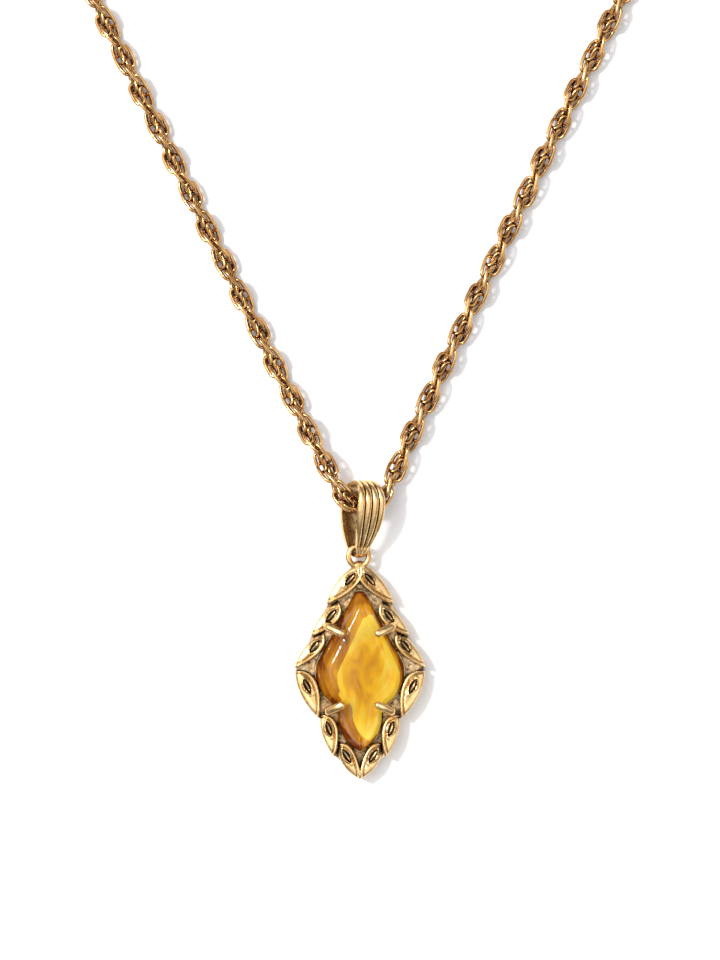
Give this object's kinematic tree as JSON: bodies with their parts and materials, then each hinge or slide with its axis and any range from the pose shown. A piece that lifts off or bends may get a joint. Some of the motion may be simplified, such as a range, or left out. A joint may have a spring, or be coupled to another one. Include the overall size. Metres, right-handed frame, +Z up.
{
  "type": "pendant necklace",
  "caption": "Antique gold rope chain necklace with a leaf-framed, prong-set golden stone pendant on a ribbed bail, a lobster clasp and an extender.",
  "frame": {"origin": "middle of the pendant's flat back, on the table the necklace lies on", "axes": "+Z up out of the pendant face, +Y from the pendant towards the clasp, +X to the right seen from above"},
  "size_m": [0.0907, 0.144, 0.0066],
  "materials": {
    "antique_gold_frame": "glossy antique gold plate with dark patina in the hollows",
    "antique_gold_bail": "glossy antique gold plate with dark grooves",
    "antique_gold_chain": "glossy antique gold plate",
    "antique_gold_clasp": "glossy antique gold plate",
    "amber_glass": "polished, faceted, golden yellow",
    "pearl": "pearly golden yellow with cloudy streaks",
    "spring_steel": "drawn wire"
  },
  "bodies": {
    "chain": {"chain_rope": "antique_gold_chain", "chain_coil_left": "antique_gold_chain", "chain_coil_right": "antique_gold_chain", "chain_end_ring_left": "antique_gold_chain", "chain_end_ring_right": "antique_gold_chain"},
    "bail": {"bail": "antique_gold_bail"},
    "pendant": {"pendant_frame": "antique_gold_frame", "stone_crown": "amber_glass", "pearl_layer": "pearl"},
    "clasp_ring": {"clasp_ring": "antique_gold_clasp"},
    "clasp": {"clasp_body": "antique_gold_clasp", "clasp_pin": "antique_gold_clasp", "clasp_spring": "spring_steel"},
    "lever": {"clasp_lever": "antique_gold_clasp"},
    "drop": {"extender_drop": "antique_gold_clasp"},
    "extender_01": {"extender_link_01": "antique_gold_clasp"},
    "extender_02": {"extender_link_02": "antique_gold_clasp"},
    "extender_03": {"extender_link_03": "antique_gold_clasp"},
    "extender_04": {"extender_link_04": "antique_gold_clasp"},
    "extender_05": {"extender_link_05": "antique_gold_clasp"},
    "extender_06": {"extender_link_06": "antique_gold_clasp"},
    "extender_07": {"extender_link_07": "antique_gold_clasp"},
    "extender_08": {"extender_link_08": "antique_gold_clasp"},
    "extender_09": {"extender_link_09": "antique_gold_clasp"},
    "extender_10": {"extender_link_10": "antique_gold_clasp"},
    "extender_11": {"extender_link_11": "antique_gold_clasp"},
    "extender_12": {"extender_link_12": "antique_gold_clasp"}
  },
  "joints": [
    {"name": "bail_swing", "type": "hinge", "parent": "chain", "child": "bail", "pos_m": [0.00045, 0.0224, 0.00335], "axis": [0.8746, 0, -0.4848], "range_deg": [-30, 30]},
    {"name": "pendant_swing", "type": "hinge", "parent": "bail", "child": "pendant", "pos_m": [-0.0002, 0.01658, 0.0022], "axis": [1, 0, 0], "range_deg": [-30, 30]},
    {"name": "clasp_ring_swing", "type": "hinge", "parent": "chain", "child": "clasp_ring", "pos_m": [-0.03601, 0.1125, 0.0017], "axis": [-0.2079, 0.9781, 0], "range_deg": [-50, 50]},
    {"name": "clasp_swing", "type": "hinge", "parent": "clasp_ring", "child": "clasp", "pos_m": [-0.03381, 0.11297, 0.0017], "axis": [-0.2079, 0.9781, 0], "range_deg": [-50, 50]},
    {"name": "lever_press", "type": "hinge", "parent": "clasp", "child": "lever", "pos_m": [-0.02943, 0.11257, 0.0017], "axis": [0, 0, 1], "range_deg": [0, 20], "stiffness_Nm_per_rad": 0.002, "springref_deg": -5.73},
    {"name": "extender_swing_01", "type": "hinge", "parent": "chain", "child": "extender_01", "pos_m": [0.03667, 0.11383, 0.0017], "axis": [-0.9063, -0.4226, 0], "range_deg": [-45, 45]},
    {"name": "extender_swing_02", "type": "hinge", "parent": "extender_01", "child": "extender_02", "pos_m": [0.03588, 0.11598, 0.0017], "axis": [0.6884, 0.7254, 0], "range_deg": [-45, 45]},
    {"name": "extender_swing_03", "type": "hinge", "parent": "extender_02", "child": "extender_03", "pos_m": [0.03279, 0.1189, 0.0017], "axis": [-0.6884, -0.7254, 0], "range_deg": [-45, 45]},
    {"name": "extender_swing_04", "type": "hinge", "parent": "extender_03", "child": "extender_04", "pos_m": [0.03064, 0.11977, 0.0017], "axis": [0.0087, 1, 0], "range_deg": [-45, 45]},
    {"name": "extender_swing_05", "type": "hinge", "parent": "extender_04", "child": "extender_05", "pos_m": [0.02639, 0.11981, 0.0017], "axis": [-0.0087, -1, 0], "range_deg": [-45, 45]},
    {"name": "extender_swing_06", "type": "hinge", "parent": "extender_05", "child": "extender_06", "pos_m": [0.02423, 0.11898, 0.0017], "axis": [-0.6756, 0.7373, 0], "range_deg": [-45, 45]},
    {"name": "extender_swing_07", "type": "hinge", "parent": "extender_06", "child": "extender_07", "pos_m": [0.02109, 0.11611, 0.0017], "axis": [0.6756, -0.7373, 0], "range_deg": [-45, 45]},
    {"name": "extender_swing_08", "type": "hinge", "parent": "extender_07", "child": "extender_08", "pos_m": [0.02008, 0.11402, 0.0017], "axis": [-0.9969, 0.0785, 0], "range_deg": [-45, 45]},
    {"name": "extender_swing_09", "type": "hinge", "parent": "extender_08", "child": "extender_09", "pos_m": [0.01974, 0.10979, 0.0017], "axis": [0.9969, -0.0785, 0], "range_deg": [-45, 45]},
    {"name": "extender_swing_10", "type": "hinge", "parent": "extender_09", "child": "extender_10", "pos_m": [0.02042, 0.10757, 0.0017], "axis": [-0.7826, -0.6225, 0], "range_deg": [-45, 45]},
    {"name": "extender_swing_11", "type": "hinge", "parent": "extender_10", "child": "extender_11", "pos_m": [0.02307, 0.10424, 0.0017], "axis": [0.7826, 0.6225, 0], "range_deg": [-45, 45]},
    {"name": "extender_swing_12", "type": "hinge", "parent": "extender_11", "child": "extender_12", "pos_m": [0.02508, 0.10308, 0.0017], "axis": [-0.1478, -0.989, 0], "range_deg": [-45, 45]},
    {"name": "drop_swing", "type": "hinge", "parent": "extender_12", "child": "drop", "pos_m": [0.02928, 0.10245, 0.0017], "axis": [0.1478, 0.989, 0], "range_deg": [-45, 45]}
  ]
}
